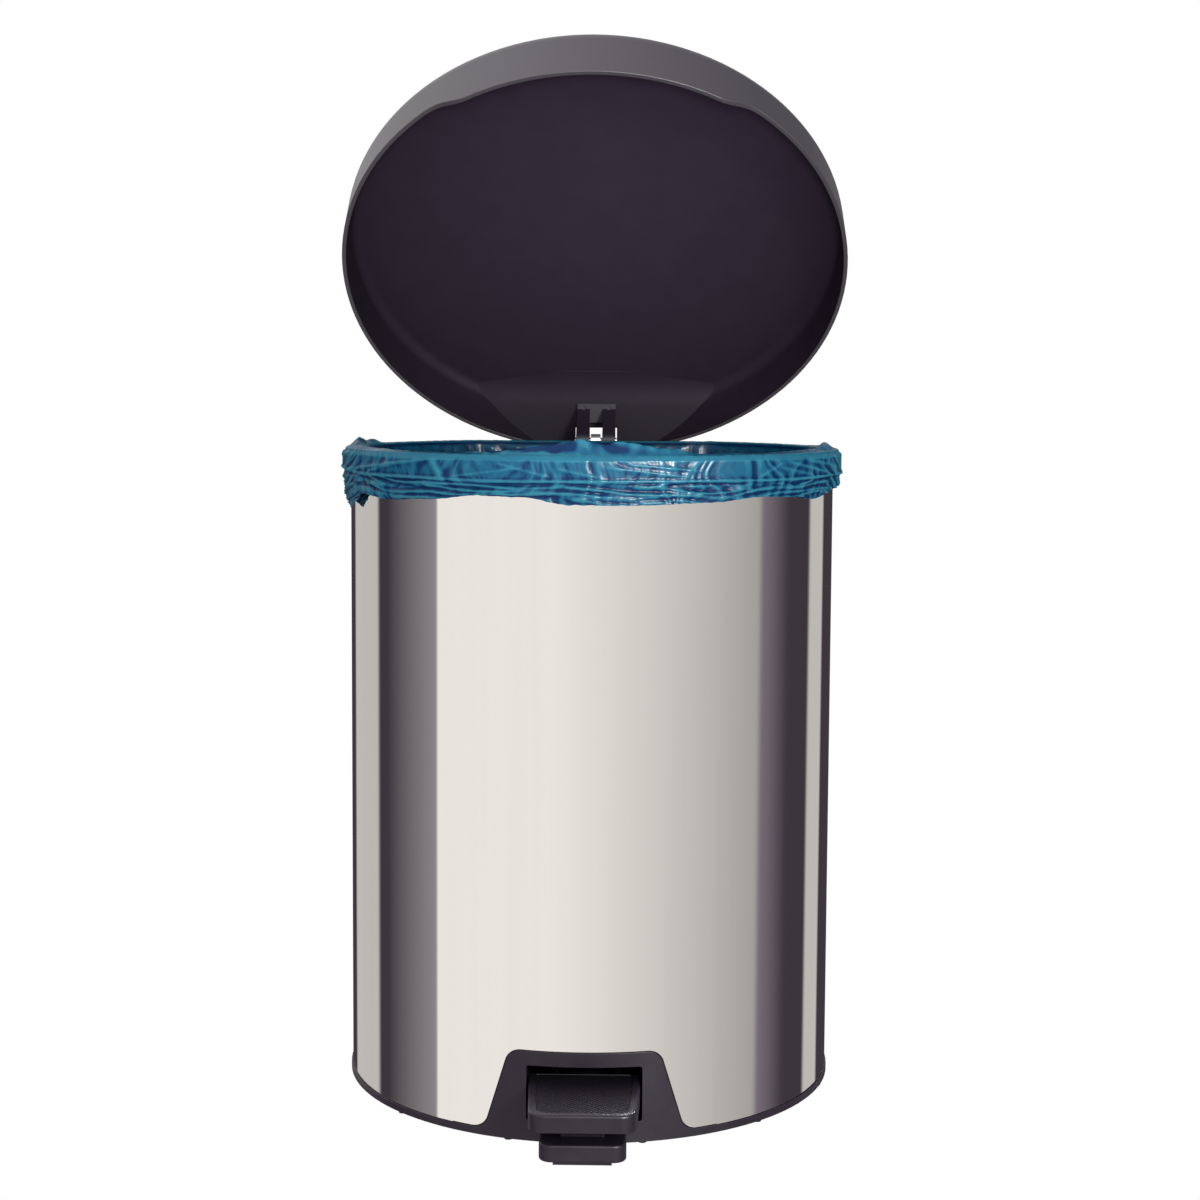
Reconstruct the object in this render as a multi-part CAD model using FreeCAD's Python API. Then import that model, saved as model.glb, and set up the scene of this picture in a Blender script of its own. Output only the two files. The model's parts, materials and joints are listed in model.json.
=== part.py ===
import FreeCAD, Part  # FreeCAD has to be imported before Part
import math
import os

# A round pedal bin: a steel shell on a moulded base, a lift-out bucket with a film liner, and a moulded lid
# that a pedal opens through a lever and a push rod.
# Millimetres. +Z is up, the pedal is at -Y and the hinge at +Y. The origin is the centre of the ring that the
# bin stands on. Everything is modelled where it stands with the lid open at lid_open_deg.

Vector = FreeCAD.Vector
X_AXIS = Vector(1, 0, 0)
Y_AXIS = Vector(0, 1, 0)
Z_AXIS = Vector(0, 0, 1)
FAR = 400.0                      # reach of a cutting block, larger than the bin's radius

# ---- driving sizes --------------------------------------------------------------------------------------
shell_radius = 145.0             # outside of the steel sheet
shell_wall = 0.8
shell_bottom = 5.0               # lower edge of the steel sheet
rim_height = 376.0               # top of the sheet's rolled bead
bead_radius = 2.4
seam_width = 8.0
seam_thickness = 0.5

lid_open_deg = 46.74             # lid angle in the modelled pose, 0 is shut
lid_travel_deg = 53.0            # shut to fully open
lid_overhang = 12.5              # the lid is this much wider than the shell all round
lid_wall = 2.5
lid_height = 37.0                # rim to the edge of the top
lid_dome = 5.0                   # rise of the top's centre above its edge
lid_draft = 1.0                  # the skirt leans in by this much over its height
lid_shoulder = 13.0              # outside radius between skirt and top
lid_inner_shoulder = 7.5         # and inside
lip_depth = 9.2                  # the finger lip hangs this far below the rest of the rim
lip_half_width = 84.0
lip_blend = 30.0                 # width over which the lip fades into the rim
facet_gap = 6.2                  # from the hinge axis to the flat at the back of the lid, at the rim
facet_lean = 20.3                # the flat is this much further forward at the top
facet_blend = 26.0               # radius between the flat and the top

hinge_back = 14.5                # hinge axis behind the shell's outside
hinge_drop = 6.5                 # hinge axis below the top of the rim bead
hinge_pin_radius = 2.5
knuckle_radius = 6.0

crank_reach = 25.5               # push rod in front of the hinge axis
rod_rise_per_rad = 27.0          # push rod travel for each radian of the lid
rod_radius = 2.5
link_pin_radius = 2.0
lever_pivot_y = -65.0
lever_pivot_z = 20.0

bucket_wall = 2.0
bucket_floor_z = 46.0
bucket_gap = 5.5                 # between the shell's outside and the bucket at its top
bucket_taper = 11.5              # the bucket's radius is this much less at the bottom
bucket_flat_gap = 18.0           # from the push rod to the flat back of the bucket, at the top
bucket_flat_lean = 6.0           # the flat is this much further forward at the bottom
bucket_lip_back = 5.5            # lip of the bucket behind the flat
lip_hook_depth = 11.0            # how far the bucket's lip hooks down over the bead
lip_thickness = 1.6
film = 0.8                       # thickness that stands in for the liner
liner_drop = 25.0                # how far the liner hangs down outside

base_overhang = 0.9              # the base is this much wider than the shell all round
base_floor_z = 2.5
base_floor = 2.5
base_edge_z = 0.9                # lower edge of the base's outer rim
ring_inset = 15.0                # the non-slip ring's outside from the shell's
ring_width = 12.0
foot_count = 12
foot_first_deg = -17.0           # first foot, from the front towards +X
foot_radius = 2.3
foot_inset = 0.2                 # the feet's outside from the base's
apron_border = 8.0               # pedal surround above its slot
apron_half_top = 41.5            # half width of the pedal surround at its top
apron_half_foot = 55.5           # and where it meets the flare at the bottom
apron_corner = 9.0
apron_gap = 0.4
slot_half = 32.0
slot_below_pivot = 7.4           # lower edge of the slot below the lever's pivot
slot_above_pivot = 23.5

pedal_side_gap = 3.2             # between the pedal's front and the slot's side
pedal_rear_gap = 0.5             # and at the pedal's rear, which is wider
pedal_reach = 45.0               # pedal's front beyond the shell
pedal_tuck = 19.0                # pedal's rear inside the shell
pedal_lip_height = 9.7
pedal_front_rise = 12.4          # top of the pedal above the lever's pivot, in front
pedal_rear_rise = 13.6           # and at its rear
bumper_half = 23.5
bumper_inset = 5.5               # the block's front behind the pedal's
bumper_gap = 5.1                 # between the block and the base
bumper_bottom_z = 4.4
bumper_height = 9.7
bumper_foot_half = 15.8
bumper_foot_height = 1.6
bumper_foot_inset = 1.5          # the foot's front behind the block's

clear = 0.3                      # between pieces of different bodies, and loose fits
running = 0.06                   # radial play of a shaft that turns or slides in its hole
sheet_play = 0.05                # between the shell and what is screwed to it

# ---- places that follow from the sizes ------------------------------------------------------------------
hinge_y = shell_radius + hinge_back
hinge_z = rim_height - hinge_drop
hinge = Vector(0, hinge_y, hinge_z)
rod_y = hinge_y - crank_reach
shell_inner = shell_radius - shell_wall
half_travel = math.radians(lid_travel_deg) / 2
open_from_mid = math.radians(lid_open_deg) - half_travel
lever_reach = rod_y - lever_pivot_y
lever_tilt = rod_rise_per_rad * open_from_mid / lever_reach      # rear end up, in radians
lever_pivot = Vector(0, lever_pivot_y, lever_pivot_z)
link_z = hinge_z + rod_rise_per_rad * open_from_mid
bead_ring_radius = shell_radius - bead_radius
lid_radius = shell_radius + lid_overhang
facet_rim_y = hinge_y - facet_gap
facet_slope = facet_lean / lid_height
bucket_top_radius = shell_radius - bucket_gap
bucket_bottom_radius = bucket_top_radius - bucket_taper
bucket_flat_y = rod_y - bucket_flat_gap
lip_under_z = rim_height + clear
lip_top_z = lip_under_z + bucket_wall
lip_inner = shell_radius + 0.4
lip_outer = lip_inner + lip_thickness
liner_top_z = lip_top_z + clear + film
base_radius = shell_radius + base_overhang
ring_outer = shell_radius - ring_inset
ring_inner = ring_outer - ring_width
slot_bottom = lever_pivot_z - slot_below_pivot
slot_top = lever_pivot_z + slot_above_pivot
apron_top = slot_top + apron_border
pedal_half = slot_half - pedal_side_gap
pedal_rear_half = slot_half - pedal_rear_gap
pedal_front_y = -shell_radius - pedal_reach
pedal_rear_y = -shell_radius + pedal_tuck
pedal_front_top_z = lever_pivot_z + pedal_front_rise
pedal_rear_top_z = lever_pivot_z + pedal_rear_rise
bumper_front_y = pedal_front_y + bumper_inset
bumper_rear_y = -base_radius - bumper_gap


# ---- shape helpers --------------------------------------------------------------------------------------
def box(x0, x1, y0, y1, z0, z1):
    return Part.makeBox(x1 - x0, y1 - y0, z1 - z0, Vector(x0, y0, z0))


def wide_box(half, y0, y1, z0, z1):
    return box(-half, half, y0, y1, z0, z1)


def disc(radius, z0, z1, x=0.0, y=0.0):
    return Part.makeCylinder(radius, z1 - z0, Vector(x, y, z0))


def tube(outer, inner, z0, z1):
    return disc(outer, z0, z1).cut(disc(inner, z0 - 1, z1 + 1))


def rod_x(radius, x0, x1, y, z):
    """A cylinder along X."""
    return Part.makeCylinder(radius, x1 - x0, Vector(x0, y, z), X_AXIS)


def rod_ring_x(outer, inner, x0, x1, y, z):
    return rod_x(outer, x0, x1, y, z).cut(rod_x(inner, x0 - 1, x1 + 1, y, z))


def prism(points, direction):
    """A polygon, given as 3-D points, pushed along a direction."""
    return Part.Face(Part.makePolygon(points + points[:1])).extrude(direction)


def revolve(edges):
    """A closed profile in the XZ half plane, turned about Z."""
    return Part.Face(Part.Wire(edges)).revolve(Vector(0, 0, 0), Z_AXIS, 360)


def line(a, b):
    return Part.LineSegment(a, b).toShape()


def arc(a, b, c):
    return Part.Arc(a, b, c).toShape()


def fuse(shapes):
    whole = shapes[0]
    for shape in shapes[1:]:
        whole = whole.fuse(shape)
    return whole.removeSplitter()


def both_sides(shape):
    """The shape and its mirror image across the YZ plane."""
    return [shape, shape.mirror(Vector(0, 0, 0), X_AXIS)]


def rounded(points, radii):
    """A closed wire through points in one plane, with each corner rounded by its own radius."""
    edges = []
    count = len(points)
    ends = []
    for i, (corner, radius) in enumerate(zip(points, radii)):
        before = (points[i - 1] - corner).normalize()
        after = (points[(i + 1) % count] - corner).normalize()
        if radius == 0:
            ends.append((corner, corner))
            continue
        half = before.getAngle(after) / 2
        inset = radius / math.tan(half)
        centre = corner + (before + after).normalize() * (radius / math.sin(half))
        start, stop = corner + before * inset, corner + after * inset
        middle = centre + (corner - centre).normalize() * radius
        edges.append((i, arc(start, middle, stop)))
        ends.append((start, stop))
    arcs = dict(edges)
    path = []
    for i in range(count):
        if i in arcs:
            path.append(arcs[i])
        path.append(line(ends[i][1], ends[(i + 1) % count][0]))
    return Part.Wire(path)


def on_rim(circle, angle):
    """A point of a YZ circle (y, z, radius), at an angle from +Y towards +Z."""
    y, z, radius = circle
    return Vector(0, y + radius * math.cos(angle), z + radius * math.sin(angle))


def hull_of_circles(circles):
    """The outline round circles (y, z, radius) listed anticlockwise as seen from +X, as a YZ face at x 0."""
    edges = []
    touch = []
    count = len(circles)
    for i in range(count):
        y0, z0, r0 = circles[i]
        y1, z1, r1 = circles[(i + 1) % count]
        length = math.hypot(y1 - y0, z1 - z0)
        heading = math.atan2(z1 - z0, y1 - y0)
        side = heading - math.pi / 2 - math.asin((r0 - r1) / length)
        touch.append((side, i, (i + 1) % count))
    for n, (side, i, j) in enumerate(touch):
        start, stop = circles[i], circles[j]
        edges.append(line(on_rim(start, side), on_rim(stop, side)))
        following = touch[(n + 1) % count][0]
        turn = (following - side) % (2 * math.pi)
        edges.append(arc(on_rim(stop, side), on_rim(stop, side + turn / 2), on_rim(stop, side + turn)))
    return Part.Face(Part.Wire(edges))


def plate_x(face, x0, x1):
    """A YZ face made into a plate from x0 to x1."""
    plate = face.extrude(Vector(x1 - x0, 0, 0))
    plate.translate(Vector(x0, 0, 0))
    return plate


def flip(point):
    """The point's mirror image across the YZ plane."""
    return Vector(-point.x, point.y, point.z)


def d_wire(radius, flat_y, corner, z):
    """A circle about the Z axis with its back cut off flat at flat_y, its two corners rounded."""
    cy = flat_y - corner
    cx = math.sqrt((radius - corner) ** 2 - cy ** 2)
    scale = radius / (radius - corner)
    on_circle = Vector(cx * scale, cy * scale, z)
    on_flat = Vector(cx, flat_y, z)
    away = Vector(cx, cy, 0).normalize() + Y_AXIS
    middle = Vector(cx, cy, z) + away.normalize() * corner
    return Part.Wire([
        line(flip(on_flat), on_flat),
        arc(on_flat, middle, on_circle),
        arc(on_circle, Vector(0, -radius, z), flip(on_circle)),
        arc(flip(on_circle), flip(middle), flip(on_flat)),
    ])


def d_prism(radius, flat_y, corner, z0, z1):
    return Part.Face(d_wire(radius, flat_y, corner, z0)).extrude(Vector(0, 0, z1 - z0))


def d_taper(bottom, top):
    """A tapered D-shaped solid between two (radius, flat_y, corner, z)."""
    return Part.makeLoft([d_wire(*bottom), d_wire(*top)], True, True)


def turned(shape, centre, radians):
    """A copy turned about the X direction through centre. Positive takes +Y towards +Z."""
    copy = shape.copy()
    copy.rotate(centre, X_AXIS, math.degrees(radians))
    return copy


def opened(shape):
    """From the shut lid's place to the modelled one."""
    return turned(shape, hinge, -math.radians(lid_open_deg))


def tilted(shape):
    """From the level lever's place to the modelled one."""
    return turned(shape, lever_pivot, lever_tilt)


def screw(head_radius, head_height, shank_radius, length):
    """A screw with its seat at the origin, its shank towards -Z and a cross recess in its head."""
    head = disc(head_radius, 0, head_height)
    head = head.makeFillet(head_height * 0.45, [e for e in head.Edges if e.BoundBox.ZMin > head_height * 0.9])
    recess_half, recess_depth = head_radius * 0.55, head_height * 0.5
    arm = head_radius * 0.14
    top = head_height + 1
    cross = wide_box(recess_half, -arm, arm, head_height - recess_depth, top)
    cross = cross.fuse(wide_box(arm, -recess_half, recess_half, head_height - recess_depth, top))
    return fuse([head.cut(cross), disc(shank_radius, -length, 0)])


def placed(shape, position, towards):
    """A copy of a Z-aligned shape with its +Z turned to the given direction, then moved."""
    copy = shape.copy()
    copy.Placement = FreeCAD.Placement(position, FreeCAD.Rotation(Z_AXIS, towards))
    return copy


# ---- the pedal surround's outline -----------------------------------------------------------------------
def apron_outline(grow, y):
    """The pedal surround seen from the front, in the XZ plane at y, grown by a gap on every side."""
    top = apron_top + grow
    half_top, half_foot = apron_half_top + grow, apron_half_foot + grow
    foot = shell_bottom + grow
    low = base_edge_z - 10
    flare = apron_corner
    wide = half_foot + 2 * flare
    points = [
        Vector(-wide, y, low), Vector(-wide, y, foot), Vector(-half_foot, y, foot), Vector(-half_top, y, top),
        Vector(half_top, y, top), Vector(half_foot, y, foot), Vector(wide, y, foot), Vector(wide, y, low),
    ]
    return Part.Face(rounded(points, [0, 0, flare, apron_corner, apron_corner, flare, 0, 0]))


# ---- body -----------------------------------------------------------------------------------------------
crank_clear_half = 15.5          # half width of the way left for the lid's arms
crank_slot_z = rim_height - 26.0        # lower end of the slot in the shell
bracket_screw_x = 9.0
bracket_screw_z = rim_height - 42.0
bracket_bottom = rim_height - 54.0
bracket_top = rim_height - 14.0
seam_top = bracket_bottom - 6.0         # the seam ends below the bracket
bracket_screw_radius = 1.9
base_screw_degs = (15, 65, 115, 165)    # from +X, anticlockwise, all at the back
base_screw_z = 13.0
base_screw_radius = 1.6


def body_shell():
    sheet = tube(shell_radius, shell_inner, shell_bottom, rim_height - bead_radius)
    bead = Part.makeTorus(bead_ring_radius, bead_radius, Vector(0, 0, rim_height - bead_radius))
    sheet = sheet.fuse(bead)
    seam = tube(shell_radius + seam_thickness, shell_radius - shell_wall / 2, shell_bottom + 2, seam_top)
    sheet = sheet.fuse(seam.common(wide_box(seam_width / 2, 0, FAR, 0, seam_top)))
    front = apron_outline(apron_gap, -FAR).extrude(Vector(0, FAR, 0))
    sheet = sheet.cut(front)
    sheet = sheet.cut(wide_box(crank_clear_half, 0, FAR, crank_slot_z, FAR + rim_height))
    for hole in bracket_holes(bracket_screw_radius + clear) + base_holes(base_screw_radius + clear):
        sheet = sheet.cut(hole)
    return sheet.removeSplitter()


def bracket_holes(radius):
    return [Part.makeCylinder(radius, 40, Vector(x, shell_radius - 25, bracket_screw_z), Y_AXIS)
            for x in (-bracket_screw_x, bracket_screw_x)]


def base_holes(radius):
    holes = []
    for deg in base_screw_degs:
        out = Vector(math.cos(math.radians(deg)), math.sin(math.radians(deg)), 0)
        start = out * (shell_radius - 20) + Vector(0, 0, base_screw_z)
        holes.append(Part.makeCylinder(radius, 40, start, out))
    return holes


# ---- base -----------------------------------------------------------------------------------------------
locating_wall = 2.6              # upright ring that the shell fits round
locating_top = 20.0
apron_thickness = 4.6
tunnel_wall = 2.4
tunnel_rear_y = lever_pivot_y - 31.0
rib_inner = ring_inner - 26.0
lug_inner, lug_outer = 16.5, 20.5
lug_half_length = 9.0
axle_radius = 3.0
axle_half = 24.0


def base():
    floor_top = base_floor_z + base_floor
    locating_outer = shell_inner - 0.15
    floor = disc(locating_outer, base_floor_z, floor_top)
    edge = tube(base_radius, shell_inner - locating_wall, base_edge_z, shell_bottom - apron_gap)
    locating = tube(locating_outer, locating_outer - locating_wall, base_edge_z, locating_top)
    apron = tube(base_radius, base_radius - apron_thickness, base_edge_z, apron_top)
    apron = apron.common(apron_outline(0, -FAR).extrude(Vector(0, FAR, 0)))
    feet = [foot(foot_first_deg + n * 360 / foot_count) for n in range(foot_count)]
    tunnel = wide_box(slot_half + tunnel_wall, -base_radius, tunnel_rear_y, base_floor_z, slot_top + tunnel_wall - 0.4)
    tunnel = tunnel.common(disc(base_radius - apron_thickness / 2, 0, FAR))
    tunnel = tunnel.cut(wide_box(slot_half, -FAR, tunnel_rear_y + 5, floor_top, slot_top))
    lugs = both_sides(box(lug_inner, lug_outer, lever_pivot_y - lug_half_length, lever_pivot_y + lug_half_length,
                          base_floor_z, lever_pivot_z + lug_half_length))
    ribs = [rib(deg) for deg in range(0, 360, 30) if not 225 < deg < 315 and deg != 90]
    body = fuse([floor, edge, locating, apron, tunnel] + feet + lugs + ribs)
    slot = Part.Face(rounded([Vector(-slot_half, -FAR, slot_bottom), Vector(slot_half, -FAR, slot_bottom),
                              Vector(slot_half, -FAR, slot_top), Vector(-slot_half, -FAR, slot_top)], [1.5] * 4))
    body = body.cut(slot.extrude(Vector(0, FAR - base_radius + apron_thickness + 10, 0)))
    body = body.cut(rod_x(axle_radius, -FAR, FAR, lever_pivot_y, lever_pivot_z))
    for hole in base_holes(base_screw_radius):
        body = body.cut(hole)
    return body.removeSplitter()


def foot(deg):
    """A small foot under the base's edge. deg is counted from the front towards +X."""
    reach = base_radius - foot_inset - foot_radius
    x, y = reach * math.sin(math.radians(deg)), -reach * math.cos(math.radians(deg))
    return disc(foot_radius, 0.1, base_floor_z + 1, x, y)


def rib(deg):
    """A stiffening rib on the base's floor, from the locating ring inwards. deg is counted from +X."""
    blade = box(rib_inner, shell_inner - 2, -1, 1, base_floor_z + 1, 11)
    blade.rotate(Vector(0, 0, 0), Z_AXIS, deg)
    return blade


def non_slip_ring():
    return tube(ring_outer, ring_inner, 0, base_floor_z)


def base_screws():
    one = screw(3.2, 1.6, base_screw_radius, 6)
    made = []
    for deg in base_screw_degs:
        out = Vector(math.cos(math.radians(deg)), math.sin(math.radians(deg)), 0)
        made.append(placed(one, out * (shell_radius + sheet_play) + Vector(0, 0, base_screw_z), out))
    return Part.makeCompound(made)


# ---- hinge, on the body ---------------------------------------------------------------------------------
ear_inner, ear_outer = 15.2, 21.0
ear_radius = 6.8
bracket_half = 27.0
bracket_depth = 5.0
backing_half = 22.0
backing_bottom = bracket_screw_z - 10.0
backing_top = bracket_screw_z + 10.0
hinge_pin_half = 24.0
clip_thickness = 0.8
washer_radius = 5.2


def hinge_bracket():
    saddle = wide_box(bracket_half, shell_radius - 6, shell_radius + bracket_depth, bracket_bottom, bracket_top)
    upright = [e for e in saddle.Edges if e.BoundBox.YLength > 10 and e.BoundBox.XLength < 1]
    saddle = saddle.makeFillet(5, upright)
    foot_z = bracket_bottom + 16
    low = (shell_radius + 2, foot_z, 2.0)
    high = (shell_radius + 2, bracket_top - 3, 2.0)
    face = hull_of_circles([low, (hinge_y, hinge_z, ear_radius), high])
    ears = both_sides(plate_x(face, ear_inner, ear_outer))
    body = fuse([saddle] + ears)
    body = body.cut(disc(shell_radius + sheet_play, 0, FAR * 2))
    body = body.cut(wide_box(ear_inner, shell_radius - 10, hinge_y + 20, crank_slot_z, FAR + rim_height))
    body = body.cut(rod_x(hinge_pin_radius, -FAR, FAR, hinge_y, hinge_z))
    for hole in bracket_holes(bracket_screw_radius + clear):
        body = body.cut(hole)
    return body.removeSplitter()


def hinge_backing_plate():
    plate = wide_box(backing_half, shell_inner - 4, shell_radius, backing_bottom, backing_top)
    plate = plate.common(disc(shell_inner - sheet_play, 0, FAR))
    for hole in bracket_holes(bracket_screw_radius):
        plate = plate.cut(hole)
    return plate


def bracket_screws():
    one = screw(3.9, 2.4, bracket_screw_radius, bracket_depth + 6)
    seat_y = shell_radius + bracket_depth
    return Part.makeCompound([placed(one, Vector(x, seat_y, bracket_screw_z), Y_AXIS)
                              for x in (-bracket_screw_x, bracket_screw_x)])


def hinge_pin():
    return rod_x(hinge_pin_radius, -hinge_pin_half, hinge_pin_half, hinge_y, hinge_z)


def pin_clips(radius, x_in, y, z, outer):
    """Two retaining rings, one at each end of a pin along X."""
    ring = rod_ring_x(outer, radius, x_in, x_in + clip_thickness, y, z)
    mouth = box(x_in - 1, x_in + clip_thickness + 1, y - radius * 0.7, y + radius * 0.7, z - outer - 1, z)
    return Part.makeCompound(both_sides(ring.cut(mouth)))


def hinge_clips():
    return pin_clips(hinge_pin_radius, ear_outer + 0.1, hinge_y, hinge_z, washer_radius)


def friction_washers():
    one = rod_ring_x(washer_radius, hinge_pin_radius, arm_outer + clear, ear_inner - 0.05, hinge_y, hinge_z)
    return Part.makeCompound(both_sides(one))


def rod_guides():
    made = []
    for z in (150.0, rim_height - 86.0):
        block = wide_box(8, rod_y - 6.5, shell_radius, z, z + 12)
        block = block.common(disc(shell_inner - 0.05, 0, FAR))
        made.append(block.cut(disc(rod_radius + 0.25, 0, FAR, 0, rod_y)))
    return Part.makeCompound(made)


def rear_deck():
    """Covers the space between the bucket's flat back and the shell, either side of the hinge."""
    front_y = bucket_flat_y + bucket_lip_back + film + 3
    top = rim_height - 2 * bead_radius - 5
    outside = shell_inner - clear
    plate = disc(outside, top - 2, top).cut(box(-FAR, FAR, -FAR, front_y, 0, FAR))
    clip = tube(outside, outside - 2, top - 12, top).cut(box(-FAR, FAR, -FAR, front_y + 4, 0, FAR))
    gap = wide_box(crank_clear_half + 0.5, 0, FAR, 0, FAR)
    return plate.fuse(clip).cut(gap).removeSplitter()


# ---- bucket and liner -----------------------------------------------------------------------------------
bucket_corner = 16.0
hook_front_y = bucket_flat_y - 46.0     # the lip hooks over the bead in front of this
hook_flat_half = 44.0                   # and hangs down behind the flat within this


def bucket_section(inset, z):
    """The bucket's D at a height: radius, flat, corner, z."""
    share = (z - bucket_floor_z) / (lip_top_z - bucket_floor_z)
    radius = bucket_bottom_radius + (bucket_top_radius - bucket_bottom_radius) * share - inset
    flat = bucket_flat_y - bucket_flat_lean * (1 - share) - inset
    return radius, flat, bucket_corner - min(inset, 3), z


def hooked(outer_radius, inner_radius, outer_flat, inner_flat, z0, z1):
    """The part of a D-shaped band that hangs outside the bead in front, and behind the flat at the back."""
    band = d_prism(outer_radius, outer_flat, bucket_corner, z0, z1)
    band = band.cut(d_prism(inner_radius, inner_flat, bucket_corner, z0 - 1, z1 + 1))
    front = band.common(box(-FAR, FAR, -FAR, hook_front_y, 0, FAR * 2))
    back = band.common(wide_box(hook_flat_half, hook_front_y + 10, FAR, 0, FAR * 2))
    return [front, back]


def bucket():
    lip_flat = bucket_flat_y + bucket_lip_back
    outside = d_taper(bucket_section(0, bucket_floor_z), bucket_section(0, lip_top_z))
    flange = d_prism(lip_outer, lip_flat, bucket_corner, lip_under_z, lip_top_z)
    hooks = hooked(lip_outer, lip_inner, lip_flat, lip_flat - 1.8, lip_top_z - lip_hook_depth, lip_top_z - 0.5)
    whole = fuse([outside, flange] + hooks)
    hollow = d_taper(bucket_section(bucket_wall, bucket_floor_z + bucket_wall),
                     bucket_section(bucket_wall, lip_top_z + 1))
    return whole.cut(hollow)


def liner():
    lip_flat = bucket_flat_y + bucket_lip_back
    inset = bucket_wall + clear
    bottom = bucket_floor_z + bucket_wall + clear
    top = liner_top_z
    bag = d_taper(bucket_section(inset, bottom), bucket_section(inset, top))
    sheet = d_prism(lip_outer + clear + film, lip_flat + clear + film, bucket_corner, top - film, top)
    flaps = hooked(lip_outer + clear + film, lip_outer + clear, lip_flat + clear + film, lip_flat + clear,
                   top - liner_drop, top - film / 2)
    whole = fuse([bag, sheet] + flaps)
    hollow = d_taper(bucket_section(inset + film, bottom + film), bucket_section(inset + film, top + 1))
    return whole.cut(hollow)


# ---- lid ------------------------------------------------------------------------------------------------
arm_inner, arm_outer = 4.4, 13.0
arm_pad_height = 17.0            # how far the arms climb the lid's back flat
notch_half = 14.0
notch_height = 12.0
crank_wall = 3.2
link_slot_play = 0.4             # a straight slot strays nearly this far from the pin's real path


def facet_y(z, wall):
    """The y of the flat at the back of the lid, at a height above the rim, drawn in by wall."""
    return facet_rim_y - wall * math.hypot(1, facet_slope) - facet_slope * z


def behind_facet(wall):
    """What is cut away behind the lid's flat, shut. The flat curves forward into the top."""
    low, crest = -3 * lip_depth, lid_height + lid_dome * 0.3 - wall
    radius = facet_blend - wall
    lean = math.atan(facet_slope)
    # the arc touches the flat and a level line at the crest
    tangent = radius * math.tan((math.pi / 2 - lean) / 2)
    knee = Vector(-FAR, facet_y(crest, wall), hinge_z + crest)
    on_flat = knee + Vector(0, math.sin(lean), -math.cos(lean)) * tangent
    on_top = knee + Vector(0, -tangent, 0)
    centre = on_top - Vector(0, 0, radius)
    middle = centre + (knee - centre).normalize() * radius
    bottom = Vector(-FAR, facet_y(low, wall), hinge_z + low)
    above = hinge_z + 3 * lid_height
    outline = Part.Wire([
        line(bottom, on_flat), arc(on_flat, middle, on_top), line(on_top, Vector(-FAR, on_top.y, above)),
        line(Vector(-FAR, on_top.y, above), Vector(-FAR, FAR, above)),
        line(Vector(-FAR, FAR, above), Vector(-FAR, FAR, bottom.z)), line(Vector(-FAR, FAR, bottom.z), bottom),
    ])
    return Part.Face(outline).extrude(Vector(2 * FAR, 0, 0))


def lid_solid(wall):
    """The lid as a filled block, shut, with every surface drawn in by wall."""
    shoulder = lid_inner_shoulder if wall else lid_shoulder
    top = hinge_z + lid_height - wall
    low = hinge_z - lip_depth - (1 if wall else 0)
    corner = Vector(lid_radius - wall - lid_draft, 0, top)
    foot = Vector(lid_radius - wall + lid_draft * (hinge_z - low) / lid_height, 0, low)
    lean = math.atan2(foot.x - corner.x, corner.z - foot.z)
    # the shoulder is an arc that touches the skirt and a level line at the top
    centre = Vector(corner.x - shoulder + shoulder * math.tan(lean), 0, top - shoulder)
    on_skirt = centre + Vector(math.cos(lean), 0, math.sin(lean)) * shoulder
    on_arc = centre + Vector(math.sin(math.pi / 4), 0, math.cos(math.pi / 4)) * shoulder
    on_top = centre + Vector(0, 0, shoulder)
    crown = Vector(0, 0, top + lid_dome)
    bow = lid_dome * 0.75
    on_dome = Vector(on_top.x / 2, 0, top + bow)
    axis_foot = Vector(0, 0, low)
    solid = revolve([
        line(axis_foot, foot), line(foot, on_skirt), arc(on_skirt, on_arc, on_top), arc(on_top, on_dome, crown),
        line(crown, axis_foot),
    ])
    return solid.cut(behind_facet(wall))


def below_rim():
    """What is cut from under the lid's rim so that only the finger lip hangs lower."""
    low = hinge_z - 60
    rear = box(-FAR, FAR, 0, FAR, low, hinge_z)
    inner, outer = lip_half_width - lip_blend / 2, lip_half_width + lip_blend / 2
    bottom = hinge_z - lip_depth
    y = -FAR
    poles = [Vector(inner, y, bottom - 0.5), Vector(inner + lip_blend * 0.45, y, bottom - 0.5),
             Vector(outer - lip_blend * 0.45, y, hinge_z), Vector(outer, y, hinge_z)]
    curve = Part.BezierCurve()
    curve.setPoles(poles)
    wire = Part.Wire([curve.toShape(), line(poles[3], Vector(FAR, y, hinge_z)),
                      line(Vector(FAR, y, hinge_z), Vector(FAR, y, low)), line(Vector(FAR, y, low), Vector(inner, y, low)),
                      line(Vector(inner, y, low), poles[0])])
    side = Part.Face(wire).extrude(Vector(0, FAR, 0))
    return [rear] + both_sides(side)


def lid():
    shell = lid_solid(0).cut(lid_solid(lid_wall))
    for tool in below_rim():
        shell = shell.cut(tool)
    notch_front = facet_rim_y - facet_lean
    shell = shell.cut(wide_box(notch_half, notch_front, FAR, hinge_z - 20, hinge_z + notch_height))
    ear_room = ear_radius + 2 * clear
    shell = shell.cut(rod_x(ear_room, -hinge_pin_half - 2 * clear, hinge_pin_half + 2 * clear, hinge_y, hinge_z))
    for hole in arm_screw_places():
        shell = shell.cut(Part.makeCylinder(1.7, 20, hole[0] - hole[1] * 10, hole[1]))
    return opened(shell)


def arm_screw_places():
    """Where the arm's two screws pass through the lid's back flat, and which way they point outwards."""
    lean = math.atan(facet_slope)
    out = Vector(0, math.cos(lean), math.sin(lean))
    z = arm_pad_height + 5.5
    return [(Vector(x, facet_y(z, 0), hinge_z + z), out) for x in (-8.7, 8.7)]


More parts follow.
